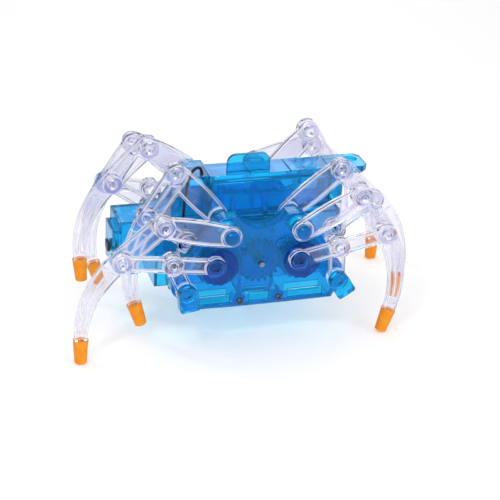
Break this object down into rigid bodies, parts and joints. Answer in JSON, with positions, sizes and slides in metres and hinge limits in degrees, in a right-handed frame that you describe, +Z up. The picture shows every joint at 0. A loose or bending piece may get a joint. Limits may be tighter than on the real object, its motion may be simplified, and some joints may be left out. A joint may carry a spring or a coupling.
{
  "type": "eight-legged walking robot kit",
  "caption": "Motorised walking spider robot: jointed clear legs with rubber tips, driven by cranks and gear cases on a translucent body with a battery box on top.",
  "frame": {"origin": "middle of the footprint, on the floor that the standing feet rest on", "axes": "+X to the right and +Y away, seen from the side with the plain near gear case; +Z up"},
  "size_m": [0.1772, 0.0894, 0.0881],
  "materials": {
    "clear_blue_plastic": "translucent blue moulded plastic, glossy",
    "deep_blue_plastic": "translucent deep blue moulded plastic, glossy",
    "clear_plastic": "clear moulded plastic, glossy",
    "orange_rubber": "soft orange rubber, satin",
    "bright_steel": "bright plated steel",
    "white_plastic": "white moulded plastic",
    "black_plastic": "black moulded plastic, matt",
    "black_rubber": "black insulated wire"
  },
  "bodies": {
    "frame": {"chassis": "clear_blue_plastic", "battery_box": "clear_blue_plastic", "battery_contacts": "bright_steel", "switch_housing": "clear_blue_plastic", "motor": "bright_steel", "black_lead": "black_rubber", "near_case": "clear_blue_plastic", "far_case": "clear_blue_plastic", "near_cover_plate": "clear_blue_plastic", "far_cover_plate": "clear_blue_plastic"},
    "drive_axle": {"centre_axle": "bright_steel", "axle_gears": "deep_blue_plastic"},
    "reduction": {"reduction_gear": "deep_blue_plastic"},
    "motor_shaft": {"motor_pinion": "white_plastic"},
    "near_left_crank": {"near_left_crank": "deep_blue_plastic"},
    "near_left_outer_upper_rocker": {"near_left_outer_upper_rocker": "clear_plastic"},
    "near_left_outer_lower_rocker": {"near_left_outer_lower_rocker": "clear_plastic"},
    "near_left_outer_coupler": {"near_left_outer_coupler": "clear_plastic"},
    "near_left_outer_leg": {"near_left_outer_leg": "clear_plastic", "near_left_outer_foot_tip": "orange_rubber"},
    "near_left_inner_upper_rocker": {"near_left_inner_upper_rocker": "clear_plastic"},
    "near_left_inner_lower_rocker": {"near_left_inner_lower_rocker": "clear_plastic"},
    "near_left_inner_coupler": {"near_left_inner_coupler": "clear_plastic"},
    "near_left_inner_leg": {"near_left_inner_leg": "clear_plastic", "near_left_inner_foot_tip": "orange_rubber"},
    "near_right_crank": {"near_right_crank": "deep_blue_plastic"},
    "near_right_outer_upper_rocker": {"near_right_outer_upper_rocker": "clear_plastic"},
    "near_right_outer_lower_rocker": {"near_right_outer_lower_rocker": "clear_plastic"},
    "near_right_outer_coupler": {"near_right_outer_coupler": "clear_plastic"},
    "near_right_outer_leg": {"near_right_outer_leg": "clear_plastic", "near_right_outer_foot_tip": "orange_rubber"},
    "near_right_inner_upper_rocker": {"near_right_inner_upper_rocker": "clear_plastic"},
    "near_right_inner_lower_rocker": {"near_right_inner_lower_rocker": "clear_plastic"},
    "near_right_inner_coupler": {"near_right_inner_coupler": "clear_plastic"},
    "near_right_inner_leg": {"near_right_inner_leg": "clear_plastic", "near_right_inner_foot_tip": "orange_rubber"},
    "far_left_crank": {"far_left_crank": "deep_blue_plastic"},
    "far_left_outer_upper_rocker": {"far_left_outer_upper_rocker": "clear_plastic"},
    "far_left_outer_lower_rocker": {"far_left_outer_lower_rocker": "clear_plastic"},
    "far_left_outer_coupler": {"far_left_outer_coupler": "clear_plastic"},
    "far_left_outer_leg": {"far_left_outer_leg": "clear_plastic", "far_left_outer_foot_tip": "orange_rubber"},
    "far_left_inner_upper_rocker": {"far_left_inner_upper_rocker": "clear_plastic"},
    "far_left_inner_lower_rocker": {"far_left_inner_lower_rocker": "clear_plastic"},
    "far_left_inner_coupler": {"far_left_inner_coupler": "clear_plastic"},
    "far_left_inner_leg": {"far_left_inner_leg": "clear_plastic", "far_left_inner_foot_tip": "orange_rubber"},
    "far_right_crank": {"far_right_crank": "deep_blue_plastic"},
    "far_right_outer_upper_rocker": {"far_right_outer_upper_rocker": "clear_plastic"},
    "far_right_outer_lower_rocker": {"far_right_outer_lower_rocker": "clear_plastic"},
    "far_right_outer_coupler": {"far_right_outer_coupler": "clear_plastic"},
    "far_right_outer_leg": {"far_right_outer_leg": "clear_plastic", "far_right_outer_foot_tip": "orange_rubber"},
    "far_right_inner_upper_rocker": {"far_right_inner_upper_rocker": "clear_plastic"},
    "far_right_inner_lower_rocker": {"far_right_inner_lower_rocker": "clear_plastic"},
    "far_right_inner_coupler": {"far_right_inner_coupler": "clear_plastic"},
    "far_right_inner_leg": {"far_right_inner_leg": "clear_plastic", "far_right_inner_foot_tip": "orange_rubber"},
    "cover": {"battery_cover": "clear_blue_plastic"},
    "switch": {"switch_slider": "black_plastic"}
  },
  "joints": [
    {"name": "drive", "type": "hinge", "parent": "frame", "child": "drive_axle", "pos_m": [0, 0, 0.04111], "axis": [0, -1, 0], "range_deg": [-30, 30]},
    {"name": "reduction_turn", "type": "hinge", "parent": "frame", "child": "reduction", "pos_m": [-0.016, 0, 0.04111], "axis": [0, -1, 0], "range_deg": [-91, 91]},
    {"name": "motor_turn", "type": "hinge", "parent": "frame", "child": "motor_shaft", "pos_m": [-0.0308, 0, 0.04111], "axis": [0, -1, 0], "range_deg": [-281, 281]},
    {"name": "near_left_crank_turn", "type": "hinge", "parent": "frame", "child": "near_left_crank", "pos_m": [-0.02, -0.03, 0.04111], "axis": [0, -1, 0], "range_deg": [-31, 31]},
    {"name": "near_left_outer_upper_rocker_swing", "type": "hinge", "parent": "frame", "child": "near_left_outer_upper_rocker", "pos_m": [-0.017, -0.0409, 0.0594], "axis": [0, -1, 0], "range_deg": [-4, 4]},
    {"name": "near_left_outer_lower_rocker_swing", "type": "hinge", "parent": "frame", "child": "near_left_outer_lower_rocker", "pos_m": [-0.0365, -0.0376, 0.0318], "axis": [0, -1, 0], "range_deg": [-8, 8]},
    {"name": "near_left_outer_elbow", "type": "hinge", "parent": "near_left_outer_lower_rocker", "child": "near_left_outer_coupler", "pos_m": [-0.04371, -0.0409, 0.04764], "axis": [0, -1, 0], "range_deg": [-11, 11]},
    {"name": "near_left_outer_knee", "type": "hinge", "parent": "near_left_outer_coupler", "child": "near_left_outer_leg", "pos_m": [-0.06681, -0.0409, 0.05072], "axis": [0, -1, 0], "range_deg": [-3, 3]},
    {"name": "near_left_inner_upper_rocker_swing", "type": "hinge", "parent": "frame", "child": "near_left_inner_upper_rocker", "pos_m": [-0.017, -0.0191, 0.0594], "axis": [0, -1, 0], "range_deg": [-7, 7]},
    {"name": "near_left_inner_lower_rocker_swing", "type": "hinge", "parent": "frame", "child": "near_left_inner_lower_rocker", "pos_m": [-0.0365, -0.0224, 0.0318], "axis": [0, -1, 0], "range_deg": [-3, 3]},
    {"name": "near_left_inner_elbow", "type": "hinge", "parent": "near_left_inner_lower_rocker", "child": "near_left_inner_coupler", "pos_m": [-0.03246, -0.0191, 0.04873], "axis": [0, -1, 0], "range_deg": [-11, 11]},
    {"name": "near_left_inner_knee", "type": "hinge", "parent": "near_left_inner_coupler", "child": "near_left_inner_leg", "pos_m": [-0.05151, -0.0191, 0.06214], "axis": [0, -1, 0], "range_deg": [-6, 6]},
    {"name": "near_right_crank_turn", "type": "hinge", "parent": "frame", "child": "near_right_crank", "pos_m": [0.02, -0.03, 0.04111], "axis": [0, -1, 0], "range_deg": [-31, 31]},
    {"name": "near_right_outer_upper_rocker_swing", "type": "hinge", "parent": "frame", "child": "near_right_outer_upper_rocker", "pos_m": [0.017, -0.0409, 0.0594], "axis": [0, -1, 0], "range_deg": [-7, 7]},
    {"name": "near_right_outer_lower_rocker_swing", "type": "hinge", "parent": "frame", "child": "near_right_outer_lower_rocker", "pos_m": [0.0365, -0.0376, 0.0318], "axis": [0, -1, 0], "range_deg": [-9, 9]},
    {"name": "near_right_outer_elbow", "type": "hinge", "parent": "near_right_outer_lower_rocker", "child": "near_right_outer_coupler", "pos_m": [0.03567, -0.0409, 0.04918], "axis": [0, -1, 0], "range_deg": [-4, 4]},
    {"name": "near_right_outer_knee", "type": "hinge", "parent": "near_right_outer_coupler", "child": "near_right_outer_leg", "pos_m": [0.05845, -0.0409, 0.05407], "axis": [0, -1, 0], "range_deg": [-11, 11]},
    {"name": "near_right_inner_upper_rocker_swing", "type": "hinge", "parent": "frame", "child": "near_right_inner_upper_rocker", "pos_m": [0.017, -0.0191, 0.0594], "axis": [0, -1, 0], "range_deg": [-14, 14]},
    {"name": "near_right_inner_lower_rocker_swing", "type": "hinge", "parent": "frame", "child": "near_right_inner_lower_rocker", "pos_m": [0.0365, -0.0224, 0.0318], "axis": [0, -1, 0], "range_deg": [-14, 14]},
    {"name": "near_right_inner_elbow", "type": "hinge", "parent": "near_right_inner_lower_rocker", "child": "near_right_inner_coupler", "pos_m": [0.04018, -0.0191, 0.04881], "axis": [0, -1, 0], "range_deg": [-5, 5]},
    {"name": "near_right_inner_knee", "type": "hinge", "parent": "near_right_inner_coupler", "child": "near_right_inner_leg", "pos_m": [0.05917, -0.0191, 0.06232], "axis": [0, -1, 0], "range_deg": [-15, 15]},
    {"name": "far_left_crank_turn", "type": "hinge", "parent": "frame", "child": "far_left_crank", "pos_m": [-0.02, 0.03, 0.04111], "axis": [0, -1, 0], "range_deg": [-31, 31]},
    {"name": "far_left_outer_upper_rocker_swing", "type": "hinge", "parent": "frame", "child": "far_left_outer_upper_rocker", "pos_m": [-0.017, 0.0409, 0.0594], "axis": [0, -1, 0], "range_deg": [-7, 7]},
    {"name": "far_left_outer_lower_rocker_swing", "type": "hinge", "parent": "frame", "child": "far_left_outer_lower_rocker", "pos_m": [-0.0365, 0.0376, 0.0318], "axis": [0, -1, 0], "range_deg": [-9, 9]},
    {"name": "far_left_outer_elbow", "type": "hinge", "parent": "far_left_outer_lower_rocker", "child": "far_left_outer_coupler", "pos_m": [-0.03567, 0.0409, 0.04918], "axis": [0, -1, 0], "range_deg": [-4, 4]},
    {"name": "far_left_outer_knee", "type": "hinge", "parent": "far_left_outer_coupler", "child": "far_left_outer_leg", "pos_m": [-0.05845, 0.0409, 0.05407], "axis": [0, -1, 0], "range_deg": [-11, 11]},
    {"name": "far_left_inner_upper_rocker_swing", "type": "hinge", "parent": "frame", "child": "far_left_inner_upper_rocker", "pos_m": [-0.017, 0.0191, 0.0594], "axis": [0, -1, 0], "range_deg": [-14, 14]},
    {"name": "far_left_inner_lower_rocker_swing", "type": "hinge", "parent": "frame", "child": "far_left_inner_lower_rocker", "pos_m": [-0.0365, 0.0224, 0.0318], "axis": [0, -1, 0], "range_deg": [-14, 14]},
    {"name": "far_left_inner_elbow", "type": "hinge", "parent": "far_left_inner_lower_rocker", "child": "far_left_inner_coupler", "pos_m": [-0.04018, 0.0191, 0.04881], "axis": [0, -1, 0], "range_deg": [-5, 5]},
    {"name": "far_left_inner_knee", "type": "hinge", "parent": "far_left_inner_coupler", "child": "far_left_inner_leg", "pos_m": [-0.05917, 0.0191, 0.06232], "axis": [0, -1, 0], "range_deg": [-15, 15]},
    {"name": "far_right_crank_turn", "type": "hinge", "parent": "frame", "child": "far_right_crank", "pos_m": [0.02, 0.03, 0.04111], "axis": [0, -1, 0], "range_deg": [-31, 31]},
    {"name": "far_right_outer_upper_rocker_swing", "type": "hinge", "parent": "frame", "child": "far_right_outer_upper_rocker", "pos_m": [0.017, 0.0409, 0.0594], "axis": [0, -1, 0], "range_deg": [-4, 4]},
    {"name": "far_right_outer_lower_rocker_swing", "type": "hinge", "parent": "frame", "child": "far_right_outer_lower_rocker", "pos_m": [0.0365, 0.0376, 0.0318], "axis": [0, -1, 0], "range_deg": [-8, 8]},
    {"name": "far_right_outer_elbow", "type": "hinge", "parent": "far_right_outer_lower_rocker", "child": "far_right_outer_coupler", "pos_m": [0.04371, 0.0409, 0.04764], "axis": [0, -1, 0], "range_deg": [-11, 11]},
    {"name": "far_right_outer_knee", "type": "hinge", "parent": "far_right_outer_coupler", "child": "far_right_outer_leg", "pos_m": [0.06681, 0.0409, 0.05072], "axis": [0, -1, 0], "range_deg": [-3, 3]},
    {"name": "far_right_inner_upper_rocker_swing", "type": "hinge", "parent": "frame", "child": "far_right_inner_upper_rocker", "pos_m": [0.017, 0.0191, 0.0594], "axis": [0, -1, 0], "range_deg": [-7, 7]},
    {"name": "far_right_inner_lower_rocker_swing", "type": "hinge", "parent": "frame", "child": "far_right_inner_lower_rocker", "pos_m": [0.0365, 0.0224, 0.0318], "axis": [0, -1, 0], "range_deg": [-3, 3]},
    {"name": "far_right_inner_elbow", "type": "hinge", "parent": "far_right_inner_lower_rocker", "child": "far_right_inner_coupler", "pos_m": [0.03246, 0.0191, 0.04873], "axis": [0, -1, 0], "range_deg": [-11, 11]},
    {"name": "far_right_inner_knee", "type": "hinge", "parent": "far_right_inner_coupler", "child": "far_right_inner_leg", "pos_m": [0.05151, 0.0191, 0.06214], "axis": [0, -1, 0], "range_deg": [-6, 6]},
    {"name": "cover_lift", "type": "slide", "parent": "frame", "child": "cover", "axis": [0, 0, 1], "range_m": [0, 0.008]},
    {"name": "switch_slide", "type": "slide", "parent": "frame", "child": "switch", "axis": [0, 1, 0], "range_m": [0, 0.004]}
  ],
  "couplings": [
    {"joint": "reduction_turn", "follows": "drive", "ratio": -3},
    {"joint": "motor_turn", "follows": "drive", "ratio": 9.3333},
    {"joint": "near_left_crank_turn", "follows": "drive", "ratio": -1},
    {"joint": "near_left_outer_upper_rocker_swing", "follows": "drive", "ratio": -0.0688},
    {"joint": "near_left_outer_lower_rocker_swing", "follows": "drive", "ratio": -0.2187},
    {"joint": "near_left_outer_elbow", "follows": "drive", "ratio": 0.3286},
    {"joint": "near_left_outer_knee", "follows": "drive", "ratio": 0.0548},
    {"joint": "near_left_inner_upper_rocker_swing", "follows": "drive", "ratio": -0.1769},
    {"joint": "near_left_inner_lower_rocker_swing", "follows": "drive", "ratio": 0.0573},
    {"joint": "near_left_inner_elbow", "follows": "drive", "ratio": -0.304},
    {"joint": "near_left_inner_knee", "follows": "drive", "ratio": 0.1591},
    {"joint": "near_right_crank_turn", "follows": "drive", "ratio": -1},
    {"joint": "near_right_outer_upper_rocker_swing", "follows": "drive", "ratio": -0.1997},
    {"joint": "near_right_outer_lower_rocker_swing", "follows": "drive", "ratio": -0.2638},
    {"joint": "near_right_outer_elbow", "follows": "drive", "ratio": 0.0798},
    {"joint": "near_right_outer_knee", "follows": "drive", "ratio": 0.3017},
    {"joint": "near_right_inner_upper_rocker_swing", "follows": "drive", "ratio": 0.4138},
    {"joint": "near_right_inner_lower_rocker_swing", "follows": "drive", "ratio": 0.4105},
    {"joint": "near_right_inner_elbow", "follows": "drive", "ratio": -0.1052},
    {"joint": "near_right_inner_knee", "follows": "drive", "ratio": -0.4652},
    {"joint": "far_left_crank_turn", "follows": "drive", "ratio": -1},
    {"joint": "far_left_outer_upper_rocker_swing", "follows": "drive", "ratio": -0.1997},
    {"joint": "far_left_outer_lower_rocker_swing", "follows": "drive", "ratio": -0.2638},
    {"joint": "far_left_outer_elbow", "follows": "drive", "ratio": 0.0798},
    {"joint": "far_left_outer_knee", "follows": "drive", "ratio": 0.3017},
    {"joint": "far_left_inner_upper_rocker_swing", "follows": "drive", "ratio": 0.4138},
    {"joint": "far_left_inner_lower_rocker_swing", "follows": "drive", "ratio": 0.4105},
    {"joint": "far_left_inner_elbow", "follows": "drive", "ratio": -0.1052},
    {"joint": "far_left_inner_knee", "follows": "drive", "ratio": -0.4652},
    {"joint": "far_right_crank_turn", "follows": "drive", "ratio": -1},
    {"joint": "far_right_outer_upper_rocker_swing", "follows": "drive", "ratio": -0.0688},
    {"joint": "far_right_outer_lower_rocker_swing", "follows": "drive", "ratio": -0.2187},
    {"joint": "far_right_outer_elbow", "follows": "drive", "ratio": 0.3286},
    {"joint": "far_right_outer_knee", "follows": "drive", "ratio": 0.0548},
    {"joint": "far_right_inner_upper_rocker_swing", "follows": "drive", "ratio": -0.1769},
    {"joint": "far_right_inner_lower_rocker_swing", "follows": "drive", "ratio": 0.0573},
    {"joint": "far_right_inner_elbow", "follows": "drive", "ratio": -0.304},
    {"joint": "far_right_inner_knee", "follows": "drive", "ratio": 0.1591}
  ]
}
